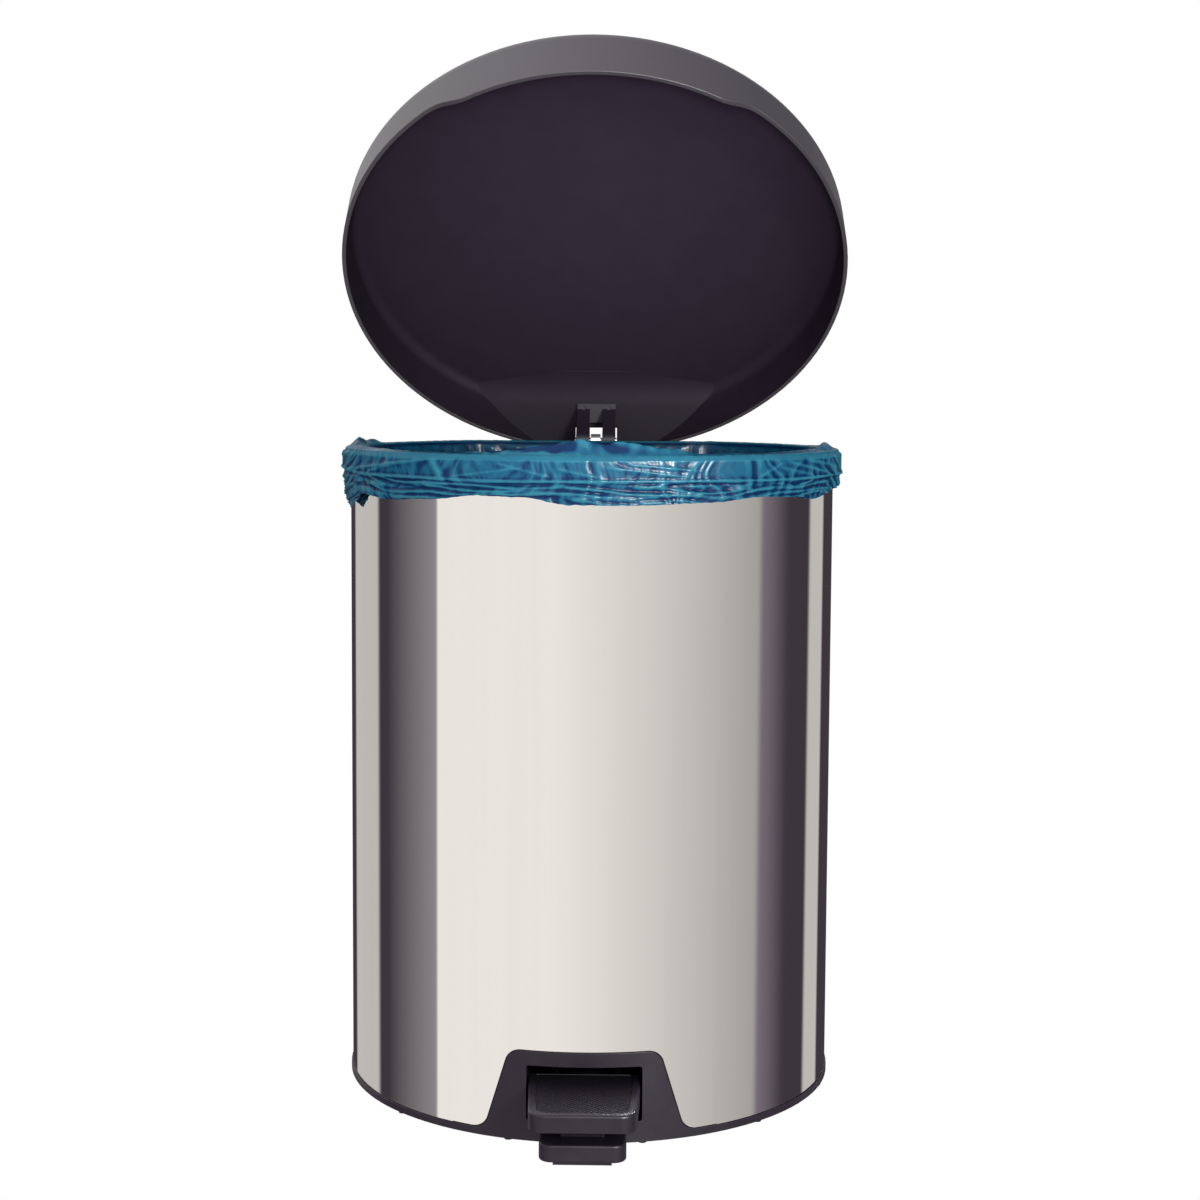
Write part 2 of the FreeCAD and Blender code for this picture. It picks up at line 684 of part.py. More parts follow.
def crank_direction():
    """The way from the hinge to the link pin with the lid shut."""
    return Vector(0, -math.cos(half_travel), -math.sin(half_travel))


def link_slot(width, x0, x1):
    """The slot's shape, shut, along the crank."""
    near, far = crank_reach - clear, crank_reach / math.cos(half_travel) + clear
    ends = [hinge + crank_direction() * far, hinge + crank_direction() * near]
    return plate_x(hull_of_circles([(p.y, p.z, width / 2) for p in ends]), x0, x1)


def lid_hinge_arm():
    slot_half_width = link_pin_radius + link_slot_play
    tip = hinge + crank_direction() * (crank_reach / math.cos(half_travel) + clear)
    pad_z = arm_pad_height
    pad_y = facet_y(pad_z, lid_wall)
    face = hull_of_circles([
        (tip.y, tip.z, slot_half_width + crank_wall),
        (hinge_y, hinge_z, knuckle_radius),
        (pad_y - 3, hinge_z + pad_z, 2.9),
    ])
    inside = lid_solid(lid_wall)
    below = box(-FAR, FAR, 0, FAR, hinge_z - 60, hinge_z + notch_height - 0.4)
    arms = []
    for arm in both_sides(plate_x(face, arm_inner, arm_outer)):
        arm = arm.common(inside).fuse(arm.common(below))
        arms.append(arm.removeSplitter())
    # the pad joins both arms and takes the screws
    lean = math.atan(facet_slope)
    pad = wide_box(arm_outer, -3.0, 0.0, 0, 13.5)
    pad.rotate(Vector(0, 0, 0), X_AXIS, math.degrees(lean))
    start = hinge_z + notch_height + 0.5
    pad.translate(Vector(0, facet_y(start - hinge_z, lid_wall) - 0.05, start))
    body = fuse(arms + [pad])
    body = body.cut(link_slot(2 * slot_half_width, -FAR, FAR))
    body = body.cut(rod_x(hinge_pin_radius + running, -FAR, FAR, hinge_y, hinge_z))
    for point, out in arm_screw_places():
        body = body.cut(Part.makeCylinder(1.5, 20, point - out * 10, out))
    return opened(body)


def lid_arm_screws():
    one = screw(3.0, 1.4, 1.5, 5)
    return opened(Part.makeCompound([placed(one, point + out * 0.02, out) for point, out in arm_screw_places()]))


# ---- push rod -------------------------------------------------------------------------------------------
eye_radius = 4.4
eye_half = 3.2
foot_ball = 4.0
lever_web_z = 8.5                # top of the lever's web above its pivot, level
lever_web = 1.6


def foot_centre_z():
    """The ball foot rides just clear of the lever's web."""
    plane_z = lever_pivot_z + lever_reach * math.tan(lever_tilt) + lever_web_z / math.cos(lever_tilt)
    return plane_z + (foot_ball + clear) / math.cos(lever_tilt)


def push_rod():
    shank = disc(rod_radius, foot_centre_z() + 1, link_z, 0, rod_y)
    eye = rod_x(eye_radius, -eye_half, eye_half, rod_y, link_z)
    return fuse([shank, eye]).cut(rod_x(link_pin_radius + 0.02, -FAR, FAR, rod_y, link_z))


def rod_foot():
    ball = Part.makeSphere(foot_ball, Vector(0, rod_y, foot_centre_z()))
    collar = disc(foot_ball, foot_centre_z(), foot_centre_z() + 10, 0, rod_y)
    return fuse([ball, collar]).cut(disc(rod_radius, foot_centre_z() + 1, FAR, 0, rod_y))


def link_pin():
    return rod_x(link_pin_radius, -arm_outer - 0.9, arm_outer + 0.9, rod_y, link_z)


# ---- pedal ----------------------------------------------------------------------------------------------
lever_half = 13.0
lever_flange = 5.0
lever_rear_y = rod_y + 5.5
tongue_front_y = pedal_front_y + 18.0
tongue_rear_y = pedal_rear_y + 3.0
ear_half_length = 8.0
lever_ear_drop = 6.0             # below the pivot
pad_inset = 4.2
pad_thickness = 0.9
pad_recess = 1.3
pad_rear_inset = 1.5


def pedal_lever():
    """A folded steel channel, web upwards, with a flat tongue inside the pedal. Made level."""
    top = lever_pivot_z + lever_web_z
    web = wide_box(lever_half, tongue_front_y, lever_rear_y, top - lever_web, top)
    web = web.makeFillet(6, [e for e in web.Edges if e.BoundBox.ZLength > 1 and e.BoundBox.YMin > lever_rear_y - 1])
    flange = box(lever_half - lever_web, lever_half, tongue_rear_y, lever_rear_y - 8, top - lever_flange, top)
    ear = hull_of_circles([
        (lever_pivot_y, lever_pivot_z, lever_ear_drop),
        (lever_pivot_y + ear_half_length + 5, top - 2, 1.0),
        (lever_pivot_y - ear_half_length - 5, top - 2, 1.0),
    ])
    ear = plate_x(ear, lever_half - lever_web, lever_half)
    body = fuse([web] + both_sides(flange) + both_sides(ear))
    body = body.cut(rod_x(axle_radius + running, -FAR, FAR, lever_pivot_y, lever_pivot_z))
    for y in pedal_screw_ys():
        body = body.cut(disc(2.2, 0, FAR, 0, y))
    return tilted(body)


def pedal_screw_ys():
    return (tongue_front_y + 8, tongue_front_y + 20)


def level(y, z):
    """Where a point of the modelled pose lies with the lever level."""
    point = FreeCAD.Rotation(X_AXIS, -math.degrees(lever_tilt)).multVec(Vector(0, y, z) - lever_pivot)
    return point + lever_pivot


def pedal_side(points):
    """YZ points of the modelled pose, as a list of level points at x 0."""
    return [level(y, z) for y, z in points]


def pedal_tread():
    """The moulded pedal, wider at its rear, with a rim round the pad and a pocket for the lever's tongue."""
    front, rear = pedal_front_y, pedal_rear_y
    outline = pedal_side([
        (front, pedal_front_top_z - pedal_lip_height), (front, pedal_front_top_z),
        (rear, pedal_rear_top_z), (rear, pedal_rear_top_z - pedal_lip_height),
    ])
    body = prism([p + Vector(-pedal_rear_half, 0, 0) for p in outline], Vector(2 * pedal_rear_half, 0, 0))
    body = body.common(prism([
        Vector(-pedal_half, outline[0].y - 1, -FAR), Vector(pedal_half, outline[0].y - 1, -FAR),
        Vector(pedal_rear_half, outline[3].y + 1, -FAR), Vector(-pedal_rear_half, outline[3].y + 1, -FAR),
    ], Vector(0, 0, 2 * FAR)))
    corners = [e for e in body.Edges if e.BoundBox.ZLength > 5 and e.BoundBox.YMax < outline[0].y + 3]
    body = body.makeFillet(9, [e for e in corners if e.BoundBox.XLength < 0.5])
    top_edges = [e for e in body.Edges if e.BoundBox.ZMin > outline[0].z + 3
                 and (e.BoundBox.YMax < outline[2].y - 0.1 or e.BoundBox.YLength > 20)]
    body = body.makeFillet(1.5, top_edges)
    top = lever_pivot_z + lever_web_z
    pocket = wide_box(lever_half + 0.2, tongue_front_y - 0.2, rear + 20, outline[0].z - 20, top + 0.1)
    body = body.cut(pocket).cut(pad_shape(0.1, pad_recess))
    for y in pedal_screw_ys():
        body = body.cut(disc(1.5, top - 1, top + 5, 0, y))
    return tilted(body)


def pad_shape(grow, depth):
    """The pad's outline, level, from a depth below the tread's top upwards."""
    front_edge, rear_edge = pedal_side([
        (pedal_front_y + pad_inset, pedal_front_top_z),
        (pedal_rear_y - pad_rear_inset, pedal_rear_top_z),
    ])
    slope = (rear_edge.z - front_edge.z) / (rear_edge.y - front_edge.y)
    half_front, half_rear = pedal_half - pad_inset + grow, pedal_rear_half - pad_inset + grow
    y_front, y_rear = front_edge.y - grow, rear_edge.y + grow
    face = Part.Face(rounded([
        Vector(-half_front, y_front, 0), Vector(half_front, y_front, 0),
        Vector(half_rear, y_rear, 0), Vector(-half_rear, y_rear, 0),
    ], [6, 6, 1.5, 1.5]))
    shape = face.extrude(Vector(0, 0, 60))
    low_y, high_y = y_front - 10, y_rear + 10
    low_z = front_edge.z - depth + slope * (low_y - front_edge.y)
    high_z = front_edge.z - depth + slope * (high_y - front_edge.y)
    return shape.cut(prism([
        Vector(-FAR, low_y, low_z), Vector(-FAR, high_y, high_z), Vector(-FAR, high_y, -FAR), Vector(-FAR, low_y, -FAR),
    ], Vector(2 * FAR, 0, 0)))


def pedal_pad():
    """A soft pad let into the tread."""
    deep = pad_shape(0, pad_recess - 0.02)
    high = pad_shape(5, pad_recess - pad_thickness)
    return tilted(deep.cut(high))


def pedal_bumper():
    """The block under the pedal that meets the floor, on a narrower neck."""
    under = lever_pivot_z + lever_web_z - lever_web
    low = pedal_side([
        (bumper_front_y, bumper_bottom_z), (bumper_front_y, bumper_bottom_z + bumper_height),
        (bumper_rear_y, bumper_bottom_z + bumper_height), (bumper_rear_y, bumper_bottom_z),
    ])
    block = prism([p + Vector(-bumper_half, 0, 0) for p in low], Vector(2 * bumper_half, 0, 0))
    block = block.makeFillet(7, [e for e in block.Edges if e.BoundBox.ZLength > 5 and e.BoundBox.YMax < low[0].y + 3
                                 and e.BoundBox.XLength < 0.1])
    block = block.makeFillet(1.2, [e for e in block.Edges if e.BoundBox.YMax < low[2].y - 3
                                   and e.BoundBox.ZLength < 4])
    neck = wide_box(lever_half - 1.0, tongue_front_y + 1, low[3].y, low[0].z + 4, under)
    under_front = level(bumper_front_y + bumper_foot_inset, bumper_bottom_z)
    foot_pad = wide_box(bumper_foot_half, under_front.y, low[3].y - 4, low[0].z - bumper_foot_height, low[0].z + 1)
    body = fuse([block, neck, foot_pad])
    for y in pedal_screw_ys():
        body = body.cut(disc(2.0, 0, FAR, 0, y)).cut(disc(3.4, 0, low[0].z + 5, 0, y))
    return tilted(body)


def pedal_screws():
    under = level(bumper_front_y, bumper_bottom_z).z + 5
    top = lever_pivot_z + lever_web_z
    one = screw(3.0, 1.8, 1.5, top + 4.5 - under)
    down = Vector(0, 0, -1)
    return tilted(Part.makeCompound([placed(one, Vector(0, y, under - 0.02), down) for y in pedal_screw_ys()]))


def lever_axle():
    return rod_x(axle_radius, -axle_half, axle_half, lever_pivot_y, lever_pivot_z)


def axle_clips():
    return pin_clips(axle_radius, lug_outer + 0.1, lever_pivot_y, lever_pivot_z, 6.0)


# ---- write ----------------------------------------------------------------------------------------------
PIECES = [
    body_shell, base, non_slip_ring, base_screws, hinge_bracket, hinge_backing_plate, bracket_screws, hinge_pin,
    hinge_clips, friction_washers, rod_guides, rear_deck, bucket, liner, lever_axle, axle_clips,
    lid, lid_hinge_arm, lid_arm_screws,
    push_rod, rod_foot, link_pin,
    pedal_lever, pedal_tread, pedal_pad, pedal_bumper, pedal_screws,
]


def main():
    os.makedirs("parts", exist_ok=True)
    for make in PIECES:
        shape = make()
        solids = shape.Solids
        if not solids or not shape.isValid():
            raise ValueError(make.__name__ + " is not a valid solid")
        if len(solids) == 1:
            shape = solids[0]
        shape.exportStep(os.path.join("parts", make.__name__ + ".step"))
        print(make.__name__, len(solids), round(shape.Volume))


main()
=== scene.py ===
import json
import math

import bpy
from mathutils import Matrix, Vector, noise


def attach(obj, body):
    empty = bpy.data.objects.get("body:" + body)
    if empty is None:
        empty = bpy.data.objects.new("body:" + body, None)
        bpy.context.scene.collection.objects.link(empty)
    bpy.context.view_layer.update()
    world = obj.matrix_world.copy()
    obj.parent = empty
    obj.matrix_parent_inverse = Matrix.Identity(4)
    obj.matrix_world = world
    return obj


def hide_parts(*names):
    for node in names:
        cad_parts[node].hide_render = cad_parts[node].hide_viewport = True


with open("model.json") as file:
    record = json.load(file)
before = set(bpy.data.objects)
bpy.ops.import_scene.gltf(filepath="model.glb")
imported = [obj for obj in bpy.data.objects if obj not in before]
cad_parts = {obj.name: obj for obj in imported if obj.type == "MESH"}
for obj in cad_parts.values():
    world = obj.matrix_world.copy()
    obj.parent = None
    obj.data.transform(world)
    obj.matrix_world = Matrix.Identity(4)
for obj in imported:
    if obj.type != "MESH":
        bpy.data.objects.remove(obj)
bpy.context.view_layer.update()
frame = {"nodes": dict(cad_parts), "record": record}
nodes = frame["nodes"]

# Metres. -Y is the front, where the pedal is.
# Angles round the bin are counted from the front towards +X.

# ---- sizes of the bucket that the liner lies on ---------------------------------------------------------
LIP_R = 0.147                    # outside of the bucket's lip
LIP_FLAT_Y = 0.1215              # and its flat at the back
LIP_CORNER = 0.016
LIP_TOP = 0.3783
BUCKET_FLOOR = 0.0480
MOUTH_R = 0.1375                 # inside of the bucket at the top
MOUTH_FLAT_Y = 0.1140
FLOOR_R = 0.1260
FLOOR_FLAT_Y = 0.1080


# ---- small helpers --------------------------------------------------------------------------------------
def smooth(a, b, x):
    """0 below a, 1 above b, eased between."""
    t = min(1.0, max(0.0, (x - a) / (b - a)))
    return t * t * (3 - 2 * t)


def bump(centre, width, x):
    """1 at the centre, falling to 0 over about the width."""
    return math.exp(-((x - centre) / width) ** 2)


def along(points, x):
    """A smooth line through (x, value) points, held level at both ends."""
    if x <= points[0][0]:
        return points[0][1]
    for (x0, v0), (x1, v1) in zip(points, points[1:]):
        if x <= x1:
            return v0 + (v1 - v0) * smooth(x0, x1, x)
    return points[-1][1]


def hills(x, y, z=0.0):
    """Smooth noise from about -1 to 1."""
    return noise.noise(Vector((x, y, z)))


def ridges(x, y, z=0.0):
    """Noise with sharp crests, from 0 to 1."""
    return 1 - min(1.0, abs(noise.noise(Vector((x, y, z)))) * 2.4)


def mesh_object(name, verts, faces, material):
    """A smooth shaded mesh with one material."""
    mesh = bpy.data.meshes.new(name)
    mesh.from_pydata(verts, [], faces)
    mesh.update()
    for polygon in mesh.polygons:
        polygon.use_smooth = True
    obj = bpy.data.objects.new(name, mesh)
    bpy.context.scene.collection.objects.link(obj)
    obj.data.materials.append(material)
    return obj


def grid_faces(rows, columns):
    """Quads over a grid of points stored row by row, each row joined round."""
    faces = []
    for i in range(rows - 1):
        here = i * columns
        above = here + columns
        for j in range(columns):
            k = (j + 1) % columns
            faces.append((here + j, here + k, above + k, above + j))
    return faces


# ---- materials ------------------------------------------------------------------------------------------
class Nodes:
    """A material under construction."""

    def __init__(self, name):
        self.material = bpy.data.materials.new(name)
        self.material.use_nodes = True
        self.tree = self.material.node_tree
        self.shader = self.tree.nodes["Principled BSDF"]

    def add(self, kind, **settings):
        node = self.tree.nodes.new(kind)
        for key, value in settings.items():
            setattr(node, key, value)
        return node

    def link(self, a, b):
        self.tree.links.new(a, b)

    def put(self, **values):
        for key, value in values.items():
            self.shader.inputs[key.replace("_", " ")].default_value = value

    def place(self, scale=(1, 1, 1)):
        """Object coordinates in metres, scaled."""
        coords = self.add("ShaderNodeTexCoord")
        mapping = self.add("ShaderNodeMapping")
        mapping.inputs["Scale"].default_value = scale
        self.link(coords.outputs["Object"], mapping.inputs["Vector"])
        return mapping.outputs["Vector"]

    def noise(self, vector, scale, detail=3.0, roughness=0.5):
        node = self.add("ShaderNodeTexNoise")
        node.inputs["Scale"].default_value = scale
        node.inputs["Detail"].default_value = detail
        node.inputs["Roughness"].default_value = roughness
        self.link(vector, node.inputs["Vector"])
        return node.outputs["Fac"]

    def range(self, value, low, high, from_low=0.3, from_high=0.7):
        node = self.add("ShaderNodeMapRange")
        node.inputs["From Min"].default_value = from_low
        node.inputs["From Max"].default_value = from_high
        node.inputs["To Min"].default_value = low
        node.inputs["To Max"].default_value = high
        self.link(value, node.inputs["Value"])
        return node.outputs["Result"]

    def mix(self, factor, a, b):
        node = self.add("ShaderNodeMix", data_type="RGBA")
        self.link(factor, node.inputs["Factor"])
        for socket, colour in ((node.inputs["A"], a), (node.inputs["B"], b)):
            if isinstance(colour, tuple):
                socket.default_value = (*colour, 1)
            else:
                self.link(colour, socket)
        return node.outputs["Result"]

    def bumped(self, height, strength, distance, edge=0.0):
        """A bump, over edges that look rounded by a radius."""
        node = self.add("ShaderNodeBump")
        if edge:
            rounded = self.add("ShaderNodeBevel", samples=6)
            rounded.inputs["Radius"].default_value = edge
            self.link(rounded.outputs["Normal"], node.inputs["Normal"])
        node.inputs["Strength"].default_value = strength
        node.inputs["Distance"].default_value = distance
        self.link(height, node.inputs["Height"])
        self.link(node.outputs["Normal"], self.shader.inputs["Normal"])
        return node


ROUGHNESS_SPREAD = 0.05          # how far a plastic's roughness varies either way
PAD_PITCH = 0.0021               # between the dots of the pedal's pad


def vary_roughness(m, where, roughness):
    uneven = m.range(m.noise(where, 60.0), roughness - ROUGHNESS_SPREAD, roughness + ROUGHNESS_SPREAD)
    m.link(uneven, m.shader.inputs["Roughness"])


def plastic(name, dark, light, roughness, grain=900.0, specular=0.5):
    """Moulded plastic with a fine grain and slightly rounded edges."""
    m = Nodes(name)
    where = m.place()
    broad = m.noise(where, 14.0)
    m.link(m.mix(m.range(broad, 0, 1), dark, light), m.shader.inputs["Base Color"])
    vary_roughness(m, where, roughness)
    m.bumped(m.noise(where, grain, 2.0), 1.0, 0.00004, 0.0005)
    m.put(Specular_IOR_Level=specular)
    return m.material


def dotted_plastic(name, dark, light, roughness, pitch):
    """Plastic with rows of small raised dots, painted lighter on their tops and darker between them as
    painted light and shade.
    """
    m = Nodes(name)
    where = m.place((1, 1, 0))
    turned = m.add("ShaderNodeMapping")
    turned.inputs["Rotation"].default_value = (0, 0, math.radians(45))
    m.link(where, turned.inputs["Vector"])
    dots = m.add("ShaderNodeTexVoronoi")
    dots.inputs["Scale"].default_value = 1 / pitch
    dots.inputs["Randomness"].default_value = 0.0
    m.link(turned.outputs["Vector"], dots.inputs["Vector"])
    height = m.range(dots.outputs["Distance"], 1, 0, 0.15, 0.5)
    # painted light on the dots' tops and painted shade on the ground between them
    m.link(m.mix(height, dark, light), m.shader.inputs["Base Color"])
    vary_roughness(m, where, roughness)
    m.bumped(height, 1.0, 0.0003)
    m.put(Specular_IOR_Level=0.08)
    return m.material


def metal(name, dark, light, rough_low, rough_high, scale=(60, 60, 60), depth=0.00001):
    """Metal whose colour and roughness vary in streaks."""
    m = Nodes(name)
    where = m.place(scale)
    streaks = m.noise(where, 1.0)
    m.link(m.mix(m.range(streaks, 0, 1), dark, light), m.shader.inputs["Base Color"])
    m.link(m.range(streaks, rough_low, rough_high), m.shader.inputs["Roughness"])
    m.bumped(streaks, 1.0, depth)
    m.put(Metallic=1.0)
    return m.material


# Painted shade in the fold valleys (the valley colour) and painted light on the fold ridges (the ridge
# colour); the body colour is the film's own blue, the cloud colour a darker blue in random patches.
FILM_VALLEY_PAINTED_SHADE = (0.001, 0.014, 0.068)
FILM_BODY = (0.008, 0.093, 0.170)
FILM_RIDGE_PAINTED_LIGHT = (0.026, 0.180, 0.250)
FILM_CLOUD = (0.003, 0.055, 0.135)


def film_material():
    """Thin blue film, glossy, with painted light along its folds and painted shade between them."""
    m = Nodes("liner_film_finish")
    cloud = m.noise(m.place(), 40.0, 4.0)
    fine = m.noise(m.place((1, 1, 0.35)), 260.0, 4.0, 0.6)
    painted_fold_shade = m.add("ShaderNodeAttribute", attribute_name="painted_fold_shade")
    # painted shade in the valleys and painted light on the ridges of the folds
    colour = m.mix(m.range(painted_fold_shade.outputs["Fac"], 0, 1, 0.05, 0.45), FILM_VALLEY_PAINTED_SHADE, FILM_BODY)
    colour = m.mix(m.range(painted_fold_shade.outputs["Fac"], 0, 1, 0.55, 1.0), colour, FILM_RIDGE_PAINTED_LIGHT)
    colour = m.mix(m.range(cloud, 0, 0.3), colour, FILM_CLOUD)
    m.link(colour, m.shader.inputs["Base Color"])
    m.link(m.range(cloud, 0.26, 0.42), m.shader.inputs["Roughness"])
    sides = m.add("ShaderNodeSeparateXYZ")
    m.link(m.place(), sides.inputs[0])
    off_middle = m.add("ShaderNodeMath", operation="ABSOLUTE")
    m.link(sides.outputs["X"], off_middle.inputs[0])
    # less of the lamps at the bin's sides
    shine = m.range(off_middle.outputs[0], 0.14, 0.02, 0.07, 0.135)
    m.link(shine, m.shader.inputs["Specular IOR Level"])
    m.bumped(fine, 0.8, 0.00016)
    return m.material


LID_MIDDLE = (0.0, 0.0589, 0.4939)      # a point in the open lid's hollow


def lid_material():
    """Satin outside and matt inside: outside is where the wall faces away from the lid's middle."""
    m = Nodes("lid_plastic_finish")
    at = m.add("ShaderNodeTexCoord")
    away = m.add("ShaderNodeVectorMath", operation="SUBTRACT")
    m.link(at.outputs["Object"], away.inputs[0])
    away.inputs[1].default_value = LID_MIDDLE
    facing = m.add("ShaderNodeVectorMath", operation="DOT_PRODUCT")
    m.link(away.outputs["Vector"], facing.inputs[0])
    m.link(at.outputs["Normal"], facing.inputs[1])
    outside = m.range(facing.outputs["Value"], 0, 1, -0.002, 0.002)
    mottle = m.noise(m.place(), 60.0)
    colour = m.mix(mottle, (0.0158, 0.0110, 0.0195), (0.0195, 0.0138, 0.0240))
    m.link(colour, m.shader.inputs["Base Color"])
    m.link(m.range(outside, 0.62, 0.5, 0, 1), m.shader.inputs["Roughness"])
    m.link(m.range(outside, 0.06, 0.9, 0, 1), m.shader.inputs["Specular IOR Level"])
    m.bumped(m.noise(m.place(), 700.0, 2.0), 1.0, 0.00006, 0.0007)
    return m.material


polished_steel = metal("polished_steel_finish", (0.885, 0.88, 0.87), (0.905, 0.90, 0.89), 0.018, 0.03,
                       scale=(120, 120, 2), depth=0.0000008)
plain_steel = metal("plain_steel_finish", (0.45, 0.45, 0.46), (0.6, 0.6, 0.6), 0.28, 0.42)
black_plastic = plastic("black_plastic_finish", (0.0195, 0.0140, 0.0245), (0.0255, 0.0185, 0.0315),
                        0.45, specular=0.22)
pedal_plastic = plastic("pedal_plastic_finish", (0.0175, 0.0125, 0.0220), (0.0215, 0.0160, 0.0270),
                        0.38, specular=0.26)
pad_plastic = dotted_plastic("pad_plastic_finish", (0.005, 0.0035, 0.006), (0.027, 0.021, 0.033),
                             0.6, PAD_PITCH)
black_steel = metal("black_steel_finish", (0.02, 0.018, 0.022), (0.03, 0.027, 0.033), 0.45, 0.55)
lid_plastic = lid_material()
bucket_plastic = plastic("bucket_plastic_finish", (0.04, 0.04, 0.043), (0.055, 0.055, 0.06), 0.5)
rubber = plastic("rubber_finish", (0.02, 0.02, 0.02), (0.03, 0.03, 0.03), 0.8, grain=500.0)
liner_film = film_material()

FINISHES = {
    "polished_steel": polished_steel,
    "plain_steel": plain_steel,
    "black_steel": black_steel,
    "black_plastic": black_plastic,
    "pedal_plastic": pedal_plastic,
    "lid_plastic": lid_plastic,
    "bucket_plastic": bucket_plastic,
    "rubber": rubber,
    "liner_film": liner_film,
}
slot_of = {entry["node"]: entry["material_slot"] for entry in frame["record"]["subparts"]}
for name, node in nodes.items():
    node.data.materials.clear()
    node.data.materials.append(FINISHES[slot_of[name]])
nodes["pedal_pad"].data.materials[0] = pad_plastic


# ---- liner ----------------------------------------------------------------------------------------------
def d_path(radius, flat_y, corner):
    """A function from the angle from the front to a point and outward normal of a D."""
    cy = flat_y - corner
    cx = math.sqrt((radius - corner) ** 2 - cy ** 2)
    turn = math.atan2(cx, -cy)               # where the circle ends
    arc_circle = radius * turn
    arc_corner = corner * (math.pi - turn)
    half = arc_circle + arc_corner + cx

    def at(angle):
        """angle runs from -pi to pi, in equal steps of length along the D."""
        s = abs(angle) / math.pi * half
        if s < arc_circle:
            a = s / radius
            nx, ny = math.sin(a), -math.cos(a)
            x, y = radius * nx, radius * ny
        elif s < arc_circle + arc_corner:
            a = turn + (s - arc_circle) / corner
            nx, ny = math.sin(a), -math.cos(a)
            x, y = cx + corner * nx, cy + corner * ny
        else:
            nx, ny = 0.0, 1.0
            x, y = half - s, flat_y
        sign = 1 if angle >= 0 else -1
        return x * sign, y, nx * sign, ny

    return at


LINER_COLUMNS = 1200
OUTSIDE_ROWS = 56
LIP_ROWS = 22
INSIDE_ROWS = 76
BOTTOM_ROWS = 10
INSIDE_CROWDING = 1.6            # rows lie closer near the rim
RIM_MM = 2.566                   # millimetres of rim for each degree
# Angle, and height of the film's free edge.
HEM_LINE = [
    (-180, 0.3640), (-150, 0.3650), (-128, 0.3776), (-112, 0.3768), (-106, 0.3610), (-97, 0.3570),
    (-90, 0.3530), (-81, 0.3510), (-75, 0.3470), (-70, 0.3452), (-66.5, 0.3492), (-62.5, 0.3545),
    (-50, 0.3525), (-38, 0.3540), (-24, 0.3572), (-14, 0.3568), (-4, 0.3530), (8, 0.3528),
    (28, 0.3540), (40, 0.3562), (52, 0.3553), (61, 0.3530), (74, 0.3570), (90, 0.3590),
    (104, 0.3600), (112, 0.3768), (128, 0.3776), (150, 0.3650), (180, 0.3640),
]
# Angle, and how far the film stands up inside the rim, in millimetres.
HUMP_LINE = [
    (-180, 1.2), (-120, 1.2), (-104, 3.0), (-92, 4.5), (-84, 4.0), (-74, 1.6), (-50, 0.8),
    (-28, 1.0), (-14, 6.0), (-4, 8.0), (6, 7.0), (16, 4.6), (26, 1.4), (44, 0.8),
    (62, 1.4), (78, 3.8), (92, 3.2), (104, 1.4), (180, 1.0),
]
# Start and end (angle, millimetres below the top), then width and height in millimetres.
OUTSIDE_CREASES = [
    ((-76, 12.5), (-36, 2.0), 1.5, 1.3), ((-36, 2.0), (-33, 13.0), 1.2, 1.0),
    ((-60, 11.5), (-48, 5.0), 1.0, 0.8), ((-33, 12.0), (-14, 5.5), 1.6, 0.7),
    ((-20, 3.0), (-8, 10.5), 1.1, 0.7), ((-6, 6.0), (3, 11.0), 1.0, 0.6),
    ((4, 5.0), (22, 10.5), 1.5, 0.9), ((9, 3.5), (24, 7.0), 1.1, 0.7),
    ((40, 11.0), (47, 4.0), 1.0, 0.5), ((50, 3.5), (70, 12.0), 1.4, 1.1),
    ((57, 2.5), (74, 8.0), 1.2, 0.9), ((46, 6.0), (62, 12.5), 1.2, 0.6),
    ((-88, 4.0), (-70, 1.5), 1.4, 0.9), ((-90, 17.0), (-60, 14.0), 1.7, 1.2),
    ((-84, 22.0), (-50, 16.5), 1.4, 0.8), ((-40, 15.0), (-6, 16.5), 1.2, 0.8),
    ((-30, 19.0), (4, 17.5), 1.0, 0.7), ((0, 15.5), (40, 15.0), 1.1, 0.7),
    ((6, 19.5), (34, 21.0), 1.0, 0.7), ((30, 17.5), (62, 18.5), 1.2, 0.7),
    ((60, 14.5), (80, 16.0), 1.3, 0.8),
]


def crease(angle, down, start, end, width, height):
    """Height of a crease along a straight line over the film, at a point."""
    ax, ay = start[0] * RIM_MM, start[1]
    bx, by = end[0] * RIM_MM - ax, end[1] - ay
    px, py = angle * RIM_MM - ax, down - ay
    length = math.hypot(bx, by)
    share = (px * bx + py * by) / length ** 2
    if share < -0.15 or share > 1.15:
        return 0.0
    off = abs(px * by - py * bx) / length
    if off > 4 * width:
        return 0.0
    ends = smooth(-0.15, 0.15, share) * (1 - smooth(0.8, 1.15, share))
    return height * ends * math.exp(-off / width)


SHADE_REACH = 3                  # rows up and down that a point is compared with
SHADE_STEP = 6                   # and columns to each side
BRINK_PAINTED_LIGHT = 0.85               # how light the film is painted over the rim's outer edge: a painted highlight


def rim_highlight_share(kind, share):
    """Where the rim's painted highlight lies: 1 on the rim's outer edge, where the film is pulled tight,
    and 0 away from it.
    """
    if kind == "outside":
        return smooth(0.93, 0.99, share)
    if kind == "lip":
        return 1 - smooth(0.02, 0.16, share)
    return 0


